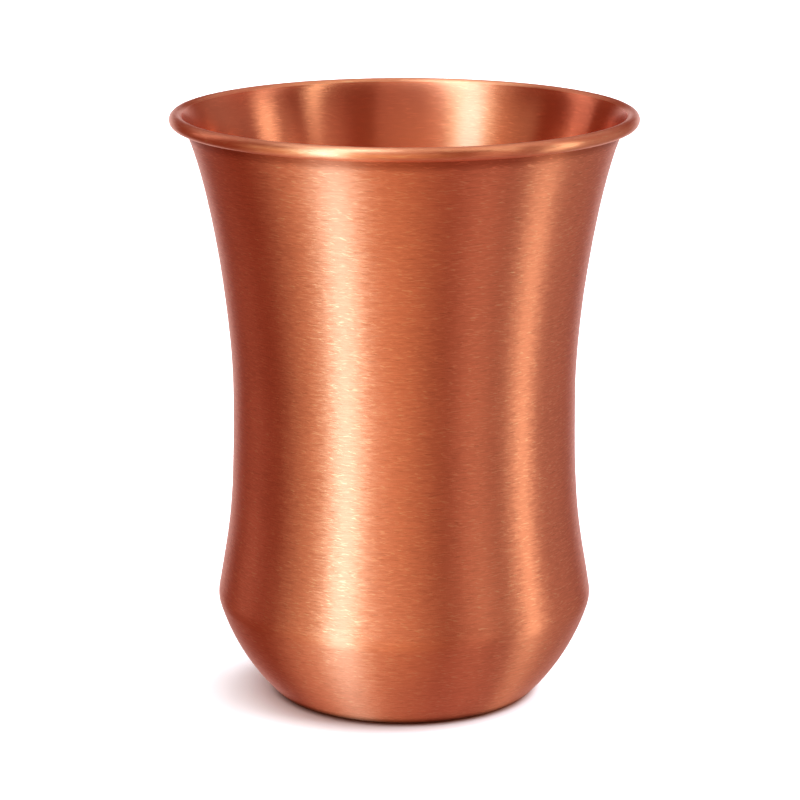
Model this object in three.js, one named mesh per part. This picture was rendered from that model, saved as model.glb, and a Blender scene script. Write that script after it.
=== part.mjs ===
// Brushed copper tumbler: a flared wall of thin sheet with a wired rim, brazed over the lip of a drawn base cup.
// Millimetres, +Z up, the origin at the middle of the foot. Every piece is round about the Z axis.
import * as THREE from "three";

// Whole cup
const RIM_DIAMETER = 86;
const HEIGHT = 110;
const SHEET = 0.5;

// Wired rim: the sheet rolls outwards round a wire, and stops just short of the wall.
const BEAD_DIAMETER = 2.5;
const WIRE_CLEARANCE = 0.05;
const CURL_END = -135;

// Outside of the wall: angles are in degrees from upright.
const FLARE_ANGLE = 30;
const FLARE_REACH = 9.8;
const WAIST_RADIUS = 31.9;
const WAIST_HEIGHT = 58;
const WAIST_REACH_UP = 15;
const WAIST_REACH_DOWN = 24.2;

// Belly crease, where the wall's line and the bowl's line meet
const BELLY_RADIUS = 35.15;
const BELLY_HEIGHT = 18.5;
const BELLY_TAPER = 9;
const BELLY_REACH = 13.7;
const CREASE_BLEND = 1.3;

// Bowl and foot
const BOWL_CURVE = 40.3;
const BOWL_LEAN = 15.6;
const FOOT_CORNER = 4.4;

// Brazed lap: the base cup's lip stands inside the lower end of the wall.
const SEAM_RISE = 2;
const LAP = 4;
const BRAZE_GAP = 0.1;
const BRAZE_FILLET = 0.5;
const BRAZE_HOLLOW = 0.25; // how much of the fillet's reach is left at the middle of its hollow face
const BRAZE_CLEARANCE = 0.05;

// Facets
const ROUND_STEPS = 48;
const CORNER_STEPS = 4;
const BOWL_STEPS = 6;
const CREASE_STEPS = 3;
const LIP_STEPS = 2;
const BELLY_STEPS = 8;
const FLARE_STEPS = 11;
const CURL_STEPS = 19;
const FILLET_STEPS = 3;
const WIRE_SIDES = 8;

const BEAD_RADIUS = BEAD_DIAMETER / 2;
const CURL_INSIDE = BEAD_RADIUS - SHEET;
const LIP_DEPTH = SHEET + BRAZE_GAP;

const vec = (r, z) => new THREE.Vector2(r, z);
const rad = THREE.MathUtils.degToRad;
// A point at a distance and an angle from a centre, with the angle counted from +r towards +Z.
const polar = (centre, radius, angle) =>
  vec(centre.x + radius * Math.cos(angle), centre.y + radius * Math.sin(angle));

// A point at a place from 0 to 1 on a curve that climbs, set in towards the metal by depth
function insetPoint(curve, depth, place) {
  const along = curve.getTangent(place);
  const at = curve.getPoint(place);
  return vec(at.x - along.y * depth, at.y + along.x * depth);
}

// Such points at even steps from one place to another
function inset(curve, depth, from, to, steps) {
  const points = [];
  for (let i = 0; i <= steps; i++) {
    const place = from + ((to - from) * i) / steps;
    points.push(insetPoint(curve, depth, place));
  }
  return points;
}

// The outside, as curves that climb from the foot to the rim
const beadCentre = vec(RIM_DIAMETER / 2 - BEAD_RADIUS, HEIGHT - BEAD_RADIUS);
const curlStart = Math.PI - rad(FLARE_ANGLE);
const waist = vec(WAIST_RADIUS, WAIST_HEIGHT);
const crease = vec(BELLY_RADIUS, BELLY_HEIGHT);
const flareTop = polar(beadCentre, CURL_INSIDE, curlStart);

const flareCurve = new THREE.CubicBezierCurve(
  waist,
  vec(waist.x, waist.y + WAIST_REACH_UP),
  polar(flareTop, FLARE_REACH, -Math.PI / 2 - rad(FLARE_ANGLE)),
  flareTop,
);
const bellyCurve = new THREE.CubicBezierCurve(
  crease,
  polar(crease, BELLY_REACH, Math.PI / 2 + rad(BELLY_TAPER)),
  vec(waist.x, waist.y - WAIST_REACH_DOWN),
  waist,
);

const bowlCentre = polar(crease, BOWL_CURVE, Math.PI - rad(BOWL_LEAN));
const cornerDrop = bowlCentre.y - FOOT_CORNER;
const cornerSpan = Math.sqrt((BOWL_CURVE - FOOT_CORNER) ** 2 - cornerDrop ** 2);
const cornerCentre = vec(bowlCentre.x + cornerSpan, FOOT_CORNER);
const cornerAngle = -Math.atan2(cornerDrop, cornerSpan);
const arc = (centre, radius, from, to) =>
  new THREE.EllipseCurve(centre.x, centre.y, radius, radius, from, to);
const cornerArc = arc(cornerCentre, FOOT_CORNER, -Math.PI / 2, cornerAngle);
const bowlTop = -rad(BOWL_LEAN) - CREASE_BLEND / BOWL_CURVE;
const bowlArc = arc(bowlCentre, BOWL_CURVE, cornerAngle, bowlTop);

// Places on the belly curve, by their distance from the crease
const bellyAt = (distance) => bellyCurve.getUtoTmapping(0, distance);
const creaseCurve = new THREE.QuadraticBezierCurve(
  bowlArc.getPoint(1),
  crease,
  bellyCurve.getPoint(bellyAt(CREASE_BLEND)),
);

// One face of the base cup below its lip, from the middle of the foot up
function cupFace(depth) {
  const joggle = depth ? SEAM_RISE - CREASE_BLEND : BRAZE_GAP;
  return [
    vec(0, depth),
    ...inset(cornerArc, depth, 0, 1, CORNER_STEPS),
    ...inset(bowlArc, depth, 0, 1, BOWL_STEPS).slice(1),
    ...inset(creaseCurve, depth, 0, 1, CREASE_STEPS).slice(1),
    insetPoint(bellyCurve, depth, bellyAt(SEAM_RISE - joggle)),
  ];
}

// The base cup: outside up to the seam, a step in by one sheet, the lip, and back down the inside
function baseCupProfile() {
  const lipTop = bellyAt(SEAM_RISE + LAP);
  const lip = (depth, foot) => inset(bellyCurve, depth, bellyAt(foot), lipTop, LIP_STEPS);
  const outside = [...cupFace(0), ...lip(LIP_DEPTH, SEAM_RISE - BRAZE_GAP)];
  const inside = [...cupFace(SHEET).slice(0, -1), ...lip(LIP_DEPTH + SHEET, SEAM_RISE)];
  return [...outside, ...inside.reverse()];
}

// The wall: outside up from the seam, round the curl and back along its hollow side, then down the inside
function flaredWallProfile() {
  const face = (depth) => [
    ...inset(bellyCurve, depth, bellyAt(SEAM_RISE), 1, BELLY_STEPS),
    ...inset(flareCurve, depth, 0, 1, FLARE_STEPS).slice(1),
  ];
  const curl = (radius) => {
    const points = [];
    for (let i = 1; i <= CURL_STEPS; i++) {
      const turn = (i / CURL_STEPS) * (curlStart - rad(CURL_END));
      points.push(polar(beadCentre, radius, curlStart - turn));
    }
    return points;
  };
  const outside = [...face(0), ...curl(CURL_INSIDE)];
  const inside = [...face(SHEET), ...curl(BEAD_RADIUS)];
  const closed = [...outside, ...inside.reverse()];
  closed.push(closed[0].clone());
  return closed;
}

// The fillet of braze in the corner between the lip's top edge and the wall's inside
function brazeProfile() {
  const foot = SEAM_RISE + LAP + BRAZE_CLEARANCE;
  const base = bellyAt(foot);
  const top = bellyAt(foot + BRAZE_FILLET);
  const wallSide = SHEET + BRAZE_CLEARANCE;
  const corner = insetPoint(bellyCurve, wallSide, base);
  const fillet = new THREE.QuadraticBezierCurve(
    insetPoint(bellyCurve, wallSide, top),
    insetPoint(bellyCurve, wallSide + BRAZE_FILLET * BRAZE_HOLLOW, base),
    insetPoint(bellyCurve, wallSide + BRAZE_FILLET, base),
  );
  return [corner, ...fillet.getPoints(FILLET_STEPS), corner.clone()];
}

const copper = (color, roughness) =>
  new THREE.MeshStandardMaterial({ color, roughness, metalness: 1 });

// A named piece turned from its outline, standing along +Z
function turned(name, profile, material) {
  const piece = new THREE.Mesh(new THREE.LatheGeometry(profile, ROUND_STEPS), material);
  piece.name = name;
  piece.rotation.x = Math.PI / 2;
  return piece;
}

const tumbler = new THREE.Group();
tumbler.add(turned("flared_wall", flaredWallProfile(), copper(0xc4744a, 0.3)));
tumbler.add(turned("base_cup", baseCupProfile(), copper(0xb96a44, 0.35)));
tumbler.add(turned("braze_ring", brazeProfile(), copper(0xd8b58a, 0.45)));

const wire = new THREE.TorusGeometry(
  beadCentre.x,
  CURL_INSIDE - WIRE_CLEARANCE,
  WIRE_SIDES,
  ROUND_STEPS,
);
const rimWire = new THREE.Mesh(wire, copper(0xa85f3c, 0.5));
rimWire.name = "rim_wire";
rimWire.position.z = beadCentre.y;
tumbler.add(rimWire);

export default tumbler;
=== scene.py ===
"""The looks of a brushed copper tumbler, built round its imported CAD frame. Metres, +Z up."""

import math

import bpy
import numpy as np
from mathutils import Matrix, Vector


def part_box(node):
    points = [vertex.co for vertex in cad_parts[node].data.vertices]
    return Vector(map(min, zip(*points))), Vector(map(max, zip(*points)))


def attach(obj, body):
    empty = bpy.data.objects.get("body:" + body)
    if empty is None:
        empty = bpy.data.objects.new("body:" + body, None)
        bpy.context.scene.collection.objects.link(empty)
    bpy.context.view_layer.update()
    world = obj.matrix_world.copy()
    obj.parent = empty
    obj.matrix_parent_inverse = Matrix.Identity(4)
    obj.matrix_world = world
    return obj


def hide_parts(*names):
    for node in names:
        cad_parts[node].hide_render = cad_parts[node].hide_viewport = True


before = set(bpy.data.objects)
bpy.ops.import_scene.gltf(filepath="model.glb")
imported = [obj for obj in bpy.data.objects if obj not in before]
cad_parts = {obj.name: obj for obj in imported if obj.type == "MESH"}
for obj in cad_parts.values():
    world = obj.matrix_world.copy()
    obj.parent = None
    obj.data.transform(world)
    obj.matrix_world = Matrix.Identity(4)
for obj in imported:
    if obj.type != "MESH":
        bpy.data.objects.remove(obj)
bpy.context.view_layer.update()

MM = 0.001

# ---------------------------------------------------------------- sizes from the CAD frame
_, wall_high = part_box("flared_wall")
wire_low, wire_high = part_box("rim_wire")

HEIGHT = wall_high.z
RIM_RADIUS = wall_high.x
BEAD_HEIGHT = (wire_low.z + wire_high.z) / 2
BEAD_RADIUS = HEIGHT - BEAD_HEIGHT
BEAD_CENTRE = np.array([RIM_RADIUS - BEAD_RADIUS, BEAD_HEIGHT])
WIRE_RADIUS = (wire_high.z - wire_low.z) / 2

# ---------------------------------------------------------------- the tumbler's own sizes
# The outline, from the bead down to the foot.
SHEET = 0.5 * MM
CURL_END = math.radians(-135)
FLARE_ANGLE = math.radians(30)
FLARE_REACH = 9.8 * MM
WAIST_RADIUS = 31.9 * MM
WAIST_HEIGHT = 58 * MM
WAIST_REACH_UP = 15 * MM
WAIST_REACH_DOWN = 24.2 * MM
BELLY_RADIUS = 35.15 * MM
BELLY_HEIGHT = 18.5 * MM
BELLY_TAPER = math.radians(9)
BELLY_REACH = 13.7 * MM
CREASE_BLEND = 1.3 * MM
BOWL_CURVE = 40.3 * MM
BOWL_LEAN = math.radians(15.6)
FOOT_CORNER = 4.4 * MM

# The brazed seam, where the base cup's lip stands inside the wall.
SEAM_RISE = 2 * MM
LAP = 4 * MM
LIP_ROOT = 1.2 * MM
HAIRLINE = 0.01 * MM
BRAZE_GAP = 0.1 * MM
BRAZE_FILLET = 0.5 * MM
BRAZE_HOLLOW = 0.2
BRAZE_FLOW = 0.2 * MM
BRAZE_CLEARANCE = 0.02 * MM

# How the sheet is finished: where it is worn, how smooth each part is, and where shade and a highlight are
# painted into its colour.
WANDER_FADE = 8 * MM
WEAR_REACH = 1.4 * MM
WEAR_POLISH = 0.12
# Painted shade on the outside: the colour darkens in a groove of this width under the bead and over this
# height at the foot's edge, with a fade.
RIM_GROOVE = 3.0 * MM
FOOT_SHADE = 3.0 * MM
SHADE_FADE = 1.3 * MM
# Painted shade on the inside fades out over this distance below the rim.
INSIDE_SHADE_FADE = 2.0 * MM
INSIDE_POLISH = 0.75
# How strong the painted shade on the inside is.
INSIDE_PAINTED_SHADE = 0.35
BEAD_POLISH = 0.34

# Steps round the axis, and along each stretch of an outline.
ROUND_STEPS = 256
CURVE_STEPS = 400
BOWL_CURVE_STEPS = 200
BLEND_STEPS = 60
WALL_STEPS = 150
HOLLOW_STEPS = 24
ROLL_STEPS = 48
CUP_STEPS = 90
LIP_STEPS = 10
INNER_STEPS = 80
DISC_STEPS = 14
WIRE_STEPS = 24
FILLET_STEPS = 12

SHARP_EDGE = math.radians(35)
ON_AXIS = 1e-9


# ---------------------------------------------------------------- outlines in the (radius, height) plane
def polar(centre, radius, angle):
    """Points at a distance and at angles from a centre, counted from +r towards +z."""
    angle = np.asarray(angle, float)
    return np.asarray(centre) + radius * np.stack([np.cos(angle), np.sin(angle)], -1)


def arc(centre, radius, start, end, steps):
    return polar(centre, radius, np.linspace(start, end, steps + 1))


def bezier(controls, steps):
    """A Bezier curve of any degree through its first and last control."""
    controls = np.array(controls, float)
    degree = len(controls) - 1
    t = np.linspace(0, 1, steps + 1)[:, None]
    return sum(
        math.comb(degree, i) * (1 - t) ** (degree - i) * t**i * point
        for i, point in enumerate(controls)
    )


def distances(points):
    """How far along a line of points each one lies."""
    return np.concatenate([[0], np.cumsum(np.hypot(*np.diff(points, axis=0).T))])


class Skin:
    """The outside of the sheet: a line from the foot's edge to the curl, read by the distance along it."""

    def __init__(self):
        crease = np.array([BELLY_RADIUS, BELLY_HEIGHT])
        waist = np.array([WAIST_RADIUS, WAIST_HEIGHT])
        upright = np.array([0, 1])
        curl_start = math.pi - FLARE_ANGLE
        flare_top = polar(BEAD_CENTRE, BEAD_RADIUS - SHEET, curl_start)
        flare = bezier(
            [
                waist,
                waist + WAIST_REACH_UP * upright,
                polar(flare_top, FLARE_REACH, -math.pi / 2 - FLARE_ANGLE),
                flare_top,
            ],
            CURVE_STEPS,
        )
        belly = bezier(
            [
                crease,
                polar(crease, BELLY_REACH, math.pi / 2 + BELLY_TAPER),
                waist - WAIST_REACH_DOWN * upright,
                waist,
            ],
            CURVE_STEPS,
        )
        bowl_centre = polar(crease, BOWL_CURVE, math.pi - BOWL_LEAN)
        drop = bowl_centre[1] - FOOT_CORNER
        span = math.sqrt((BOWL_CURVE - FOOT_CORNER) ** 2 - drop**2)
        corner_end = -math.atan2(drop, span)
        self.foot_radius = bowl_centre[0] + span
        corner_centre = (self.foot_radius, FOOT_CORNER)
        corner = arc(corner_centre, FOOT_CORNER, -math.pi / 2, corner_end, BLEND_STEPS)
        bowl_top = -BOWL_LEAN - CREASE_BLEND / BOWL_CURVE
        bowl = arc(bowl_centre, BOWL_CURVE, corner_end, bowl_top, BOWL_CURVE_STEPS)
        from_crease = distances(belly)
        above = belly[from_crease > CREASE_BLEND]
        blend = bezier([bowl[-1], crease, above[0]], BLEND_STEPS)
        self.line = np.concatenate([corner[:-1], bowl[:-1], blend[:-1], above[:-1], flare])
        self.far = distances(self.line)
        seam_height = np.interp(SEAM_RISE, from_crease, belly[:, 1])
        self.seam = float(np.interp(seam_height, self.line[:, 1], self.far))
        self.crease = float(np.interp(BELLY_HEIGHT, self.line[:, 1], self.far))
        self.end = float(self.far[-1])
        slope = np.gradient(self.line, self.far, axis=0)
        self.slope = slope / np.linalg.norm(slope, axis=1)[:, None]

    def at(self, far, depth=0.0):
        """Points at these distances from the foot's edge, set in towards the metal by depth."""

        def read(values):
            return np.interp(far, self.far, values)

        point = np.stack([read(self.line[:, 0]), read(self.line[:, 1])], -1)
        inward = np.stack([-read(self.slope[:, 1]), read(self.slope[:, 0])], -1)
        return point + depth * inward


skin = Skin()


# ---------------------------------------------------------------- turned meshes
def wander(angle, height):
    """How far the hand-guided spinning strays from a true round.

    Each wave has its turns round the axis, its rise in radians to the metre, its phase, and its size in
    millimetres. The stray dies away at the foot and at the wired rim.
    """
    waves = (
        (2, 90, 0.4, 0.020),
        (3, 210, 1.9, 0.012),
        (5, 420, 4.1, 0.006),
        (1, 760, 2.7, 0.004),
        (7, 1150, 5.3, 0.002),
    )
    stray = sum(
        size * MM * np.sin(turns * angle + rise * height + phase)
        for turns, rise, phase, size in waves
    )
    below_bead = BEAD_HEIGHT - BEAD_RADIUS - height
    held_by_foot = np.clip(height / WANDER_FADE, 0, 1)
    held_by_rim = np.clip(below_bead / WANDER_FADE, 0, 1)
    return stray * held_by_foot * held_by_rim


def strip(points, far, polish=0.0, painted_shading=0.0):
    """Rows of an outline: radius, height, place along the skin, polish, and painted shading.

    Polish goes from 0, brushed, to 1, rubbed smooth. Painted shading goes from -1, a painted highlight, to
    1, painted shade.
    """
    columns = np.empty((len(points), 5))
    columns[:, :2] = points
    columns[:, 2] = far
    columns[:, 3] = polish
    columns[:, 4] = painted_shading
    return columns


def turned(name, strips, closed):
    """A lathed mesh from strips of rows, closed on itself or running from the axis back to the axis."""
    rows = np.concatenate(strips)
    count = len(rows)
    angles = np.linspace(0, 2 * math.pi, ROUND_STEPS, endpoint=False) + math.pi / 2
    on_axis = rows[:, 0] < ON_AXIS
    radius = np.where(on_axis, 0, rows[:, 0] + wander(angles[:, None], rows[:, 1]))
    heights = np.broadcast_to(rows[:, 1], radius.shape)
    across, deep = np.cos(angles)[:, None], np.sin(angles)[:, None]
    grid = np.stack([radius * across, radius * deep, heights], -1)

    index = np.zeros((ROUND_STEPS, count), int)
    points, marks = [], []
    for row in range(count):
        around = 1 if on_axis[row] else ROUND_STEPS
        index[:, row] = len(points) + np.arange(ROUND_STEPS) % around
        points.extend(grid[:around, row])
        marks.extend([rows[row, 2:]] * around)

    faces, corners = [], []
    spans = count if closed else count - 1
    for step in range(ROUND_STEPS):
        beside = (step + 1) % ROUND_STEPS
        for row in range(spans):
            up = (row + 1) % count
            face = [index[step, row], index[beside, row], index[beside, up], index[step, up]]
            spots = [(step, row), (step + 1, row), (step + 1, row + 1), (step, row + 1)]
            kept = [i for i in range(4) if face[i] not in face[:i]]
            faces.append([face[i] for i in kept])
            corners.extend((spots[i][0] / ROUND_STEPS, spots[i][1] / spans) for i in kept)

    mesh = bpy.data.meshes.new(name)
    mesh.from_pydata(points, [], faces)
    # The third value is painted shading: painted highlight below 0, painted shade above 0.
    for label, values in zip(("along", "polish", "painted_shading"), np.array(marks).T):
        mesh.attributes.new(label, "FLOAT", "POINT").data.foreach_set("value", values.copy())
    mesh.uv_layers.new(name="turned").data.foreach_set("uv", np.array(corners).ravel())
    mesh.shade_smooth()
    mesh.set_sharp_from_angle(angle=SHARP_EDGE)
    mesh.update()
    piece = bpy.data.objects.new(name, mesh)
    bpy.context.scene.collection.objects.link(piece)
    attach(piece, "root")
    return piece


def worn(far):
    """Polish on the outside: none, but for the crease, where hands and tables rub the brushing away."""
    return WEAR_POLISH * np.exp(-(((far - skin.crease) / WEAR_REACH) ** 2))


def painted_shade_outside(far):
    """Painted shade on the outside: darker colour in the groove under the bead and at the foot's edge."""
    from_bead = (RIM_GROOVE + SHADE_FADE - (skin.end - far)) / SHADE_FADE
    from_foot = (FOOT_SHADE + SHADE_FADE - far) / SHADE_FADE
    return np.clip(np.maximum(from_bead, from_foot), 0, 1)


def painted_shade_inside(far):
    """Painted shade on the inside: darker colour even all over, fading out towards the rim."""
    return INSIDE_PAINTED_SHADE * np.clip((skin.end - far) / INSIDE_SHADE_FADE, 0, 1)


def wall_piece():
    """The flared sheet: up the outside, round the curl's hollow and back over it, and down the inside."""
    climb = np.linspace(skin.seam, skin.end, WALL_STEPS)
    down = climb[::-1]
    start = math.pi - FLARE_ANGLE
    turn = start - CURL_END
    hollow_radius = BEAD_RADIUS - SHEET
    hollow = arc(BEAD_CENTRE, hollow_radius, start, CURL_END, HOLLOW_STEPS)[1:]
    hollow_far = skin.end + np.linspace(0, 1, HOLLOW_STEPS + 1)[1:] * turn * hollow_radius
    roll = arc(BEAD_CENTRE, BEAD_RADIUS, CURL_END, start, ROLL_STEPS)[:-1]
    roll_far = skin.end + np.linspace(1, 0, ROLL_STEPS + 1)[:-1] * turn * BEAD_RADIUS
    strips = [
        strip(skin.at(climb), climb, worn(climb), painted_shade_outside(climb)),
        # The curl's hollow, under the bead, is painted fully dark: painted shade.
        strip(hollow, hollow_far, BEAD_POLISH, 1.0),
        # The roll over the wire gets a paler, brighter copper: a painted highlight.
        strip(roll, roll_far, BEAD_POLISH, -1.0),
        strip(skin.at(down, SHEET), down, INSIDE_POLISH, painted_shade_inside(down)),
    ]
    piece = turned("copper_wall", strips, closed=True)
    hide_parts("flared_wall")
    return piece


def cup_piece():
    """The drawn base: foot, bowl and crease, the lip that stands inside the wall, and back down inside."""
    climb = np.linspace(0, skin.seam - HAIRLINE, CUP_STEPS)
    lip = np.linspace(skin.seam, skin.seam + LAP, LIP_STEPS)
    inner = np.linspace(skin.seam - LIP_ROOT, 0, INNER_STEPS)
    radii = np.linspace(0, 1, DISC_STEPS)[:-1] * skin.foot_radius
    under = np.stack([radii, np.zeros_like(radii)], -1)
    floor = np.stack([radii[::-1], np.full_like(radii, SHEET)], -1)
    strips = [
        strip(under, radii - skin.foot_radius),
        strip(skin.at(climb), climb, worn(climb), painted_shade_outside(climb)),
        strip(skin.at(lip, SHEET + BRAZE_GAP), lip, INSIDE_POLISH),
        strip(skin.at(lip[::-1], 2 * SHEET + BRAZE_GAP), lip[::-1], INSIDE_POLISH),
        # The inside of the base gets the same painted shade as the wall's inside.
        strip(skin.at(inner, SHEET), inner, INSIDE_POLISH, INSIDE_PAINTED_SHADE),
        strip(floor, radii[::-1] - skin.foot_radius, INSIDE_POLISH, INSIDE_PAINTED_SHADE),
    ]
    piece = turned("copper_base", strips, closed=False)
    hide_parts("base_cup")
    return piece


def wire_piece():
    """The ring of wire that the rim is rolled round."""
    outline = arc(BEAD_CENTRE, WIRE_RADIUS, 0, 2 * math.pi, WIRE_STEPS)[:-1]
    far = np.linspace(0, 2 * math.pi * WIRE_RADIUS, len(outline))
    piece = turned("wire_ring", [strip(outline, far, BEAD_POLISH)], closed=True)
    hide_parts("rim_wire")
    return piece


def braze_piece():
    """The hollow-faced fillet of braze between the lip's top edge and the wall, uneven where it flowed."""
    low = skin.seam + LAP + BRAZE_CLEARANCE
    top = low + BRAZE_FILLET
    side = SHEET + BRAZE_CLEARANCE
    corner = skin.at(low, side)
    face = bezier(
        [
            skin.at(top, side),
            skin.at(low, side + BRAZE_HOLLOW * BRAZE_FILLET),
            skin.at(low, side + BRAZE_FILLET),
        ],
        FILLET_STEPS,
    )
    outline = np.concatenate([[corner], face])
    far = np.linspace(low, top, len(outline))
    piece = turned("braze_fillet", [strip(outline, far)], closed=True)
    for vertex in piece.data.vertices:
        angle = math.atan2(vertex.co.y, vertex.co.x)
        flow = 0.5 + 0.3 * math.sin(9 * angle + 0.7) + 0.2 * math.sin(23 * angle + 2.1)
        radius = math.hypot(vertex.co.x, vertex.co.y)
        reach = max(0.0, corner[0] - radius) / BRAZE_FILLET
        swell = 1 + BRAZE_FLOW * flow * reach / radius
        vertex.co.x *= swell
        vertex.co.y *= swell
    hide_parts("braze_ring")
    return piece


# ---------------------------------------------------------------- shader nodes
def node(tree, kind, inputs=None, **settings):
    """A new shader node. inputs maps a socket's name or number to a value or to another node's output."""
    made = tree.nodes.new("ShaderNode" + kind)
    for name, value in settings.items():
        setattr(made, name, value)
    for name, value in (inputs or {}).items():
        if isinstance(value, bpy.types.NodeSocket):
            tree.links.new(value, made.inputs[name])
        else:
            made.inputs[name].default_value = value
    return made


def sums(tree, operation, first, second):
    return node(tree, "Math", {0: first, 1: second}, operation=operation).outputs[0]


def weighed(tree, *terms):
    """The sum of patterns, each times its weight."""
    total = 0.0
    for pattern, weight in terms:
        total = sums(tree, "ADD", total, sums(tree, "MULTIPLY", pattern, weight))
    return total


def ranged(tree, value, low, high, to_low=0.0, to_high=1.0):
    """value from low to high, as to_low to to_high, held at both ends."""
    inputs = {"Value": value, 1: low, 2: high, 3: to_low, 4: to_high}
    return node(tree, "MapRange", inputs).outputs[0]


def eased(tree, value, none, full, to_none=0.0, to_full=1.0):
    """A smooth step from to_none to to_full as value goes from none to full."""
    inputs = {"Value": value, 1: none, 2: full, 3: to_none, 4: to_full}
    return node(tree, "MapRange", inputs, interpolation_type="SMOOTHSTEP").outputs[0]


def added(tree, first, second):
    """The sum of two vectors or colours."""
    return node(tree, "VectorMath", {0: first, 1: second}, operation="ADD").outputs[0]


def scaled(tree, vector, share):
    """A vector or a colour times a number."""
    return node(tree, "VectorMath", {0: vector, "Scale": share}, operation="SCALE").outputs[0]


def unit(tree, vector):
    """A vector made one long."""
    return node(tree, "VectorMath", {0: vector}, operation="NORMALIZE").outputs[0]


def blended(tree, share, first, second):
    """The first colour, with this share of the second."""
    return node(tree, "Mix", {0: share, 6: first, 7: second}, data_type="RGBA").outputs[2]


def attribute(tree, name):
    """One of the mesh's own values: along, polish or painted_shading."""
    return node(tree, "Attribute", attribute_name=name).outputs["Fac"]


# ---------------------------------------------------------------- materials
def strokes(tree, length, width, seed, slant=0.0, detail=1.0):
    """Noise drawn out round the tumbler, as strokes of about this length and width, slanted or level."""
    place = node(tree, "TexCoord").outputs["Object"]
    flat = node(tree, "VectorMath", {0: place, 1: (1, 1, 0)}, operation="MULTIPLY").outputs[0]
    turn = scaled(tree, unit(tree, flat), WAIST_RADIUS / length)
    sideways = node(tree, "SeparateXYZ", {0: place}).outputs["X"]
    climb = sums(tree, "ADD", attribute(tree, "along"), sums(tree, "MULTIPLY", sideways, slant))
    climb = sums(tree, "ADD", sums(tree, "DIVIDE", climb, width), seed)
    lift = node(tree, "CombineXYZ", {"Z": climb}).outputs[0]
    inputs = {"Vector": added(tree, turn, lift), "Scale": 1.0, "Detail": detail, "Roughness": 0.5}
    return node(tree, "TexNoise", inputs).outputs["Fac"]


def metal(name, tree_of):
    """A bare metal whose nodes tree_of makes in its tree, round the shader."""
    material = bpy.data.materials.new(name)
    material.use_nodes = True
    tree = material.node_tree
    shader = tree.nodes["Principled BSDF"]
    shader.inputs["Metallic"].default_value = 1.0
    tree_of(tree, shader)
    return material


def clouds(tree, scale):
    """A soft blotchy pattern from -1 to 1, with this many blotches to the metre."""
    place = node(tree, "TexCoord").outputs["Object"]
    noise = node(tree, "TexNoise", {"Vector": place, "Scale": scale, "Detail": 3.0}).outputs["Fac"]
    return ranged(tree, noise, 0.3, 0.7, -1.0, 1.0)


COPPER = (0.95, 0.40, 0.25, 1)
# Painted highlight: a paler, brighter copper for the bead's roll.
PAINTED_SHEEN_COPPER = (1.0, 0.47, 0.29, 1)
# Painted shade: the dark brown that the colour is mixed towards where shade is painted.
PAINTED_SHADE_COPPER = (0.50, 0.13, 0.065, 1)
WIRE_COPPER = (0.80, 0.34, 0.21)
BRAZE_ALLOY = (0.86, 0.64, 0.38)
# How far painted shade mixes the colour towards the dark brown, at most.
PAINTED_SHADE_SHARE = 0.6
ROUGHNESS = 0.42
SMOOTH = 0.4 * ROUGHNESS
LEFT_BY_RUBBING = 0.15
STROKE_LEAN = 0.028
ANISOTROPY = 0.9
QUARTER_TURN = 0.25
FINE_RELIEF = 0.01 * MM
PUDDLE_RELIEF = 0.04 * MM


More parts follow.
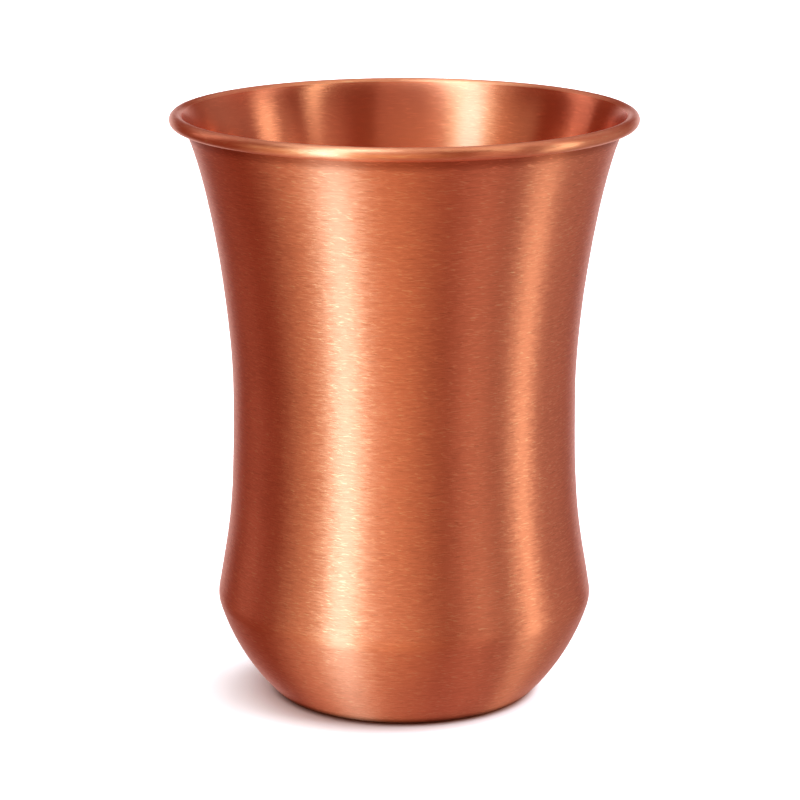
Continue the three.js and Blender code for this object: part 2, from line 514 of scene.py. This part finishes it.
def brushed(tree, shader):
    """Copper brushed round the axis: slanted flecks over fine grain, smooth or a little rougher in places,
    with painted shade and a painted highlight in places.
    """
    polish = attribute(tree, "polish")
    painted_shading = attribute(tree, "painted_shading")
    brushing = ranged(tree, polish, 0.0, 1.0, 1.0, LEFT_BY_RUBBING)
    # Painted shade: where the colour darkens and turns slightly rougher.
    stain_and_shade = ranged(tree, painted_shading, 0.0, 1.0)
    cloud = clouds(tree, 70.0)
    grain = strokes(tree, 2.6 * MM, 0.16 * MM, 3.0, detail=2.0)
    grain = ranged(tree, grain, 0.25, 0.75, -1.0, 1.0)
    rising = ranged(tree, strokes(tree, 1.5 * MM, 0.24 * MM, 17.0, 0.22), 0.62, 0.74)
    falling = ranged(tree, strokes(tree, 1.9 * MM, 0.22 * MM, 29.0, -0.10), 0.62, 0.74)
    dark = ranged(tree, strokes(tree, 2.0 * MM, 0.20 * MM, 41.0, -0.06), 0.62, 0.78)

    relief = weighed(tree, (grain, 0.34), (rising, 1.5), (falling, 1.3), (dark, -0.6))
    relief = sums(tree, "MULTIPLY", relief, brushing)
    tone = weighed(tree, (relief, 0.30), (cloud, 0.04), (stain_and_shade, -0.14))
    tone = sums(tree, "ADD", tone, 0.97)
    # Painted highlight: on the bead's roll the copper turns paler and brighter.
    painted_sheen = ranged(tree, painted_shading, -1.0, 0.0, 1.0, 0.0)
    bare = scaled(tree, blended(tree, painted_sheen, COPPER, PAINTED_SHEEN_COPPER), tone)
    paint = blended(tree, sums(tree, "MULTIPLY", stain_and_shade, PAINTED_SHADE_SHARE), bare, PAINTED_SHADE_COPPER)
    tree.links.new(paint, shader.inputs["Base Color"])

    rough = ranged(tree, polish, 0.0, 1.0, ROUGHNESS, SMOOTH)
    rough = sums(tree, "ADD", rough, weighed(tree, (cloud, 0.015), (relief, -0.02), (stain_and_shade, 0.02)))
    tree.links.new(rough, shader.inputs["Roughness"])

    round_axis = node(tree, "Tangent", direction_type="UV_MAP", uv_map="turned").outputs[0]
    lean = strokes(tree, 1.7 * MM, 0.24 * MM, 71.0, 0.05)
    lean = ranged(tree, lean, 0.25, 0.75, -STROKE_LEAN, STROKE_LEAN)
    lean = scaled(tree, round_axis, sums(tree, "MULTIPLY", lean, brushing))
    bump = node(tree, "Bump", {"Height": relief, "Strength": 0.35, "Distance": FINE_RELIEF})
    normal = unit(tree, added(tree, bump.outputs[0], lean))
    tree.links.new(normal, shader.inputs["Normal"])
    tree.links.new(round_axis, shader.inputs["Tangent"])
    shader.inputs["Anisotropic"].default_value = ANISOTROPY
    shader.inputs["Anisotropic Rotation"].default_value = QUARTER_TURN


def drawn(tree, shader):
    """Copper wire as drawn: long die lines along it, and a brown bloom, since nothing polishes it."""
    lines = strokes(tree, 30 * MM, 0.12 * MM, 5.0, detail=2.0)
    lines = ranged(tree, lines, 0.3, 0.7, -1.0, 1.0)
    bloom = clouds(tree, 140.0)
    tone = weighed(tree, (lines, 0.10), (bloom, 0.14))
    paint = scaled(tree, WIRE_COPPER, sums(tree, "ADD", tone, 0.86))
    tree.links.new(paint, shader.inputs["Base Color"])
    rough = weighed(tree, (lines, 0.03), (bloom, 0.06))
    tree.links.new(sums(tree, "ADD", rough, 0.38), shader.inputs["Roughness"])
    bump = node(tree, "Bump", {"Height": lines, "Strength": 0.4, "Distance": FINE_RELIEF})
    tree.links.new(bump.outputs[0], shader.inputs["Normal"])


def brazed(tree, shader):
    """Brazing alloy as it froze: paler and yellower than copper, faintly puddled, stained by the flux."""
    puddles = clouds(tree, 900.0)
    stain_and_shade = clouds(tree, 220.0)
    tone = weighed(tree, (puddles, 0.08), (stain_and_shade, 0.16))
    paint = scaled(tree, BRAZE_ALLOY, sums(tree, "ADD", tone, 0.84))
    tree.links.new(paint, shader.inputs["Base Color"])
    rough = weighed(tree, (puddles, 0.05), (stain_and_shade, 0.07))
    tree.links.new(sums(tree, "ADD", rough, 0.40), shader.inputs["Roughness"])
    bump = node(tree, "Bump", {"Height": puddles, "Strength": 0.6, "Distance": PUDDLE_RELIEF})
    tree.links.new(bump.outputs[0], shader.inputs["Normal"])


def dress(piece, material):
    piece.data.materials.clear()
    piece.data.materials.append(material)


def dress_all(wall, base, wire, braze):
    dress(wall, metal("brushed_copper_wall", brushed))
    dress(base, metal("brushed_copper_base", brushed))
    dress(wire, metal("drawn_copper_wire", drawn))
    dress(braze, metal("braze_alloy", brazed))


# ---------------------------------------------------------------- studio
# Each light is a soft panel round the tumbler. It has its direction, from the camera's side towards +X, its
# half width, how far its side edges fade, its lowest and highest elevation, all in degrees, and its colour.
# A panel that reaches the zenith has no upper edge.
PANELS = {
    "main": (-40, 3, 8, -36, 30, (0.55, 1.35, 2.15)),
    "main skirt": (-40, 7, 12, -37, 30, (0.60, 1.20, 1.05)),
    "main, upper": (-39, 4, 19, 48, 90, (0.90, 1.70, 2.10)),
    "main skirt, upper": (-42, 9, 26, 30, 90, (0.55, 0.45, 0.31)),
    "left, level": (-68, 9, 10, 4, 12, (0.32, 0.34, 0.27)),
    "front fill": (-28, 12, 54, -40, 10, (0.68, 0.49, 0.27)),
    "front fill, upper": (-20, 34, 6, 20, 70, (0.20, 0.15, 0.13)),
    "pool": (-68, 26, 26, -74, -50, (0.46, 0.37, 0.29)),
    "weak": (46, 4, 14, -40, 16, (0.40, 0.29, 0.23)),
    "weak, upper": (57, 1, 7, 34, 90, (1.65, 1.80, 1.45)),
    "second": (86, 1, 10, -31, 16, (1.40, 1.40, 1.10)),
    "second, upper": (89, 2, 9, 34, 90, (0.66, 0.62, 0.56)),
    "right, level": (80, 9, 12, 4, 12, (0.20, 0.21, 0.16)),
    "right fill": (102, 16, 38, -40, 12, (0.23, 0.23, 0.21)),
    "right fill, upper": (106, 10, 12, 30, 90, (0.16, 0.08, 0.07)),
    "left patch": (-117, 7, 4, 12, 32, (0.56, 0.39, 0.35)),
    "backdrop": (180, 14, 28, -34, -2, (0.80, 0.80, 0.86)),
    "top": (-60, 40, 30, 66, 90, (0.90, 1.10, 1.10)),
    "ceiling": (0, 180, 1, 66, 90, (0.48, 0.45, 0.37)),
    "back, upper": (180, 48, 24, 36, 56, (0.32, 0.30, 0.29)),
}
END_FADE = 18
ZENITH = 90
ROOM = (0.23, 0.055, 0.03)
FLOOR_GLOW = (0.22, 0.145, 0.145)
GLOW_STARTS = -40
GLOW_FULL = -60


def sine(degrees):
    return math.sin(math.radians(degrees))


def studio():
    """Soft panels all round the tumbler. The camera itself sees plain white in their place."""
    world = bpy.data.worlds.new("studio")
    bpy.context.scene.world = world
    world.use_nodes = True
    tree = world.node_tree
    tree.nodes.clear()
    split = node(tree, "SeparateXYZ", {0: node(tree, "TexCoord").outputs["Generated"]})
    height = split.outputs["Z"]
    towards_camera = sums(tree, "MULTIPLY", split.outputs["Y"], -1.0)
    turn = sums(tree, "ARCTAN2", split.outputs["X"], towards_camera)
    light = ROOM
    for azimuth, half, fade, low, high, colour in PANELS.values():
        aside = sums(tree, "SUBTRACT", turn, math.radians(azimuth))
        aside = node(tree, "Math", {0: aside, 1: -math.pi, 2: math.pi}, operation="WRAP").outputs[0]
        aside = sums(tree, "ABSOLUTE", aside, 0.0)
        across = eased(tree, aside, math.radians(half), math.radians(half + fade), 1.0, 0.0)
        above_low = eased(tree, height, sine(low - END_FADE), sine(low))
        share = sums(tree, "MULTIPLY", across, above_low)
        if high < ZENITH:
            below_high = eased(tree, height, sine(high + END_FADE), sine(high))
            share = sums(tree, "MULTIPLY", share, below_high)
        light = added(tree, light, scaled(tree, colour, share))
    glow = eased(tree, height, sine(GLOW_STARTS), sine(GLOW_FULL))
    light = added(tree, light, scaled(tree, FLOOR_GLOW, glow))
    sky = node(tree, "Background", {"Color": light, "Strength": 1.0})
    white = node(tree, "Background", {"Color": (1, 1, 1, 1), "Strength": 1.0})
    seen = node(tree, "LightPath").outputs["Is Camera Ray"]
    mixed = node(tree, "MixShader", {0: seen, 1: sky.outputs[0], 2: white.outputs[0]})
    out = node(tree, "OutputWorld")
    tree.links.new(mixed.outputs[0], out.inputs["Surface"])


# The floor's colours, a painted contact shadow among them, and how far from the axis each change in it
# starts and ends.
FLOOR_PALE = (0.80, 0.80, 0.86, 1)
FLOOR_PAINTED_SHADOW = (0.40, 0.13, 0.07, 1)
# Painted shade: the nearly black floor colour that the metal reflects round the foot.
FLOOR_SHADE_IN_REFLECTIONS = (0.05, 0.03, 0.03, 1)
# Painted light: the colour and strength of a glow on the floor that only the camera sees.
FLOOR_LIFT = (0.90, 0.96, 1.0, 1)
LIFT_STRENGTH = 0.32
FLOOR_RADIUS = 3.0
PAINTED_SHADOW_START = 23.2 * MM
PAINTED_SHADOW_END = 25.8 * MM
SHADOW_END = 34 * MM
REFLECTED_NEAR = 24.6 * MM
REFLECTED_FAR = 26.5 * MM


def pale_floor():
    """A pale floor, with a painted contact shadow in brown under the foot and a painted glow that whitens
    it further out.

    Reflections see only a painted dark patch round the foot, standing for its shade, and past it the lower
    ends of the panels.
    """
    bpy.ops.mesh.primitive_circle_add(vertices=96, radius=FLOOR_RADIUS, fill_type="NGON")
    floor = bpy.context.object
    floor.name = "floor"
    card = bpy.data.materials.new("pale_floor")
    card.use_nodes = True
    tree = card.node_tree
    tree.nodes.clear()
    place = node(tree, "TexCoord").outputs["Object"]
    away = node(tree, "VectorMath", {0: place}, operation="LENGTH").outputs["Value"]
    beyond = eased(tree, away, REFLECTED_NEAR, REFLECTED_FAR)
    reflected = node(tree, "LightPath").outputs["Is Glossy Ray"]
    # Painted shadow: a brown line on the floor where the foot stands.
    pale = blended(tree, eased(tree, away, PAINTED_SHADOW_START, PAINTED_SHADOW_END), FLOOR_PAINTED_SHADOW, FLOOR_PALE)
    # Painted shade: reflections see the floor nearly black.
    tint = blended(tree, reflected, pale, FLOOR_SHADE_IN_REFLECTIONS)
    diffuse = node(tree, "BsdfDiffuse", {"Color": tint})
    seen = node(tree, "LightPath").outputs["Is Camera Ray"]
    # Painted light: the floor glows for the camera only, fading out towards the foot, so its shadow whitens
    # further out.
    glow = eased(tree, away, PAINTED_SHADOW_START, SHADOW_END, 0.0, LIFT_STRENGTH)
    glow = sums(tree, "MULTIPLY", seen, glow)
    lift = node(tree, "Emission", {"Color": FLOOR_LIFT, "Strength": glow})
    lifted = node(tree, "AddShader", {0: diffuse.outputs[0], 1: lift.outputs[0]})
    clear = node(tree, "BsdfTransparent")
    gone = sums(tree, "MULTIPLY", beyond, reflected)
    mixed = node(tree, "MixShader", {0: gone, 1: lifted.outputs[0], 2: clear.outputs[0]})
    out = node(tree, "OutputMaterial")
    tree.links.new(mixed.outputs[0], out.inputs["Surface"])
    floor.data.materials.append(card)


FLOOR_LIGHT_SIZE = 2.4
FLOOR_LIGHT_POWER = 95
FLOOR_LIGHT_PLACE = (0.76, 0.12, 1.0)


def floor_light():
    """A very broad light above and to the right, for the soft shadow at the foot. No metal reflects it."""
    data = bpy.data.lights.new("floor_light", "AREA")
    data.size = FLOOR_LIGHT_SIZE
    data.energy = FLOOR_LIGHT_POWER
    light = bpy.data.objects.new("floor_light", data)
    bpy.context.scene.collection.objects.link(light)
    light.location = FLOOR_LIGHT_PLACE
    light.rotation_euler = light.location.to_track_quat("Z", "Y").to_euler()
    light.visible_glossy = False
    light.visible_camera = False


VIEW_DISTANCE = 0.6
VIEW_TILT = math.radians(13.88)
VIEW_ASIDE = -0.0008
VIEW_HEIGHT = 0.0555
LENS = 144.6
SENSOR_WIDTH = 36
CLIP_START = 0.01


def camera():
    """A long lens that looks down at the middle of the tumbler, a little to one side of its axis."""
    data = bpy.data.cameras.new("camera")
    data.lens = LENS
    data.sensor_width = SENSOR_WIDTH
    data.clip_start = CLIP_START
    view = bpy.data.objects.new("camera", data)
    bpy.context.scene.collection.objects.link(view)
    back = VIEW_DISTANCE * math.cos(VIEW_TILT)
    rise = VIEW_DISTANCE * math.sin(VIEW_TILT)
    view.location = (VIEW_ASIDE, -back, VIEW_HEIGHT + rise)
    view.rotation_euler = (math.pi / 2 - VIEW_TILT, 0, 0)
    bpy.context.scene.camera = view


# ---------------------------------------------------------------- the scene
dress_all(wall_piece(), cup_piece(), wire_piece(), braze_piece())
studio()
pale_floor()
floor_light()
camera()
bpy.context.scene.view_settings.view_transform = "Standard"
